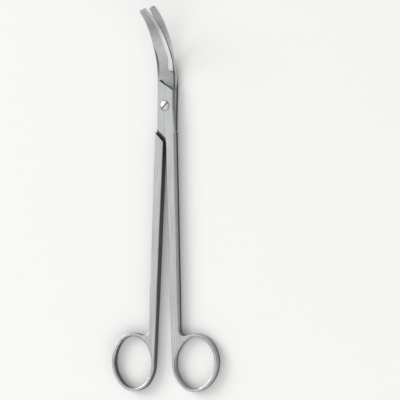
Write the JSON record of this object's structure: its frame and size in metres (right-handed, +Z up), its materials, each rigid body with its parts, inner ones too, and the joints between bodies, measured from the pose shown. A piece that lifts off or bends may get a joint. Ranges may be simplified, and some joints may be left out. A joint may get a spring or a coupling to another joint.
{
  "type": "parametrium scissors",
  "caption": "Long-shanked surgical scissors with strongly curved, bevelled blades, a screwed lap joint and oval rings.",
  "frame": {"origin": "on the pivot's axis, in the plane of the two flat backs that the scissors lie on", "axes": "+Y along the scissors from the rings to the tips, +X to the finger ring's side, +Z up, the way the blades curve and the screw head faces"},
  "size_m": [0.0685, 0.228, 0.0353],
  "materials": {
    "satin_steel": "satin-ground stainless steel, finely brushed along the shanks and across the blades",
    "screw_steel": "turned and polished stainless steel"
  },
  "bodies": {
    "rear": {"rear_half": "satin_steel", "pivot_screw": "screw_steel"},
    "front": {"front_half": "satin_steel"}
  },
  "joints": [
    {"name": "pivot", "type": "hinge", "parent": "rear", "child": "front", "pos_m": [0, 0, 0.0028], "axis": [0, 0, 1], "range_deg": [-3.8, 70]}
  ]
}
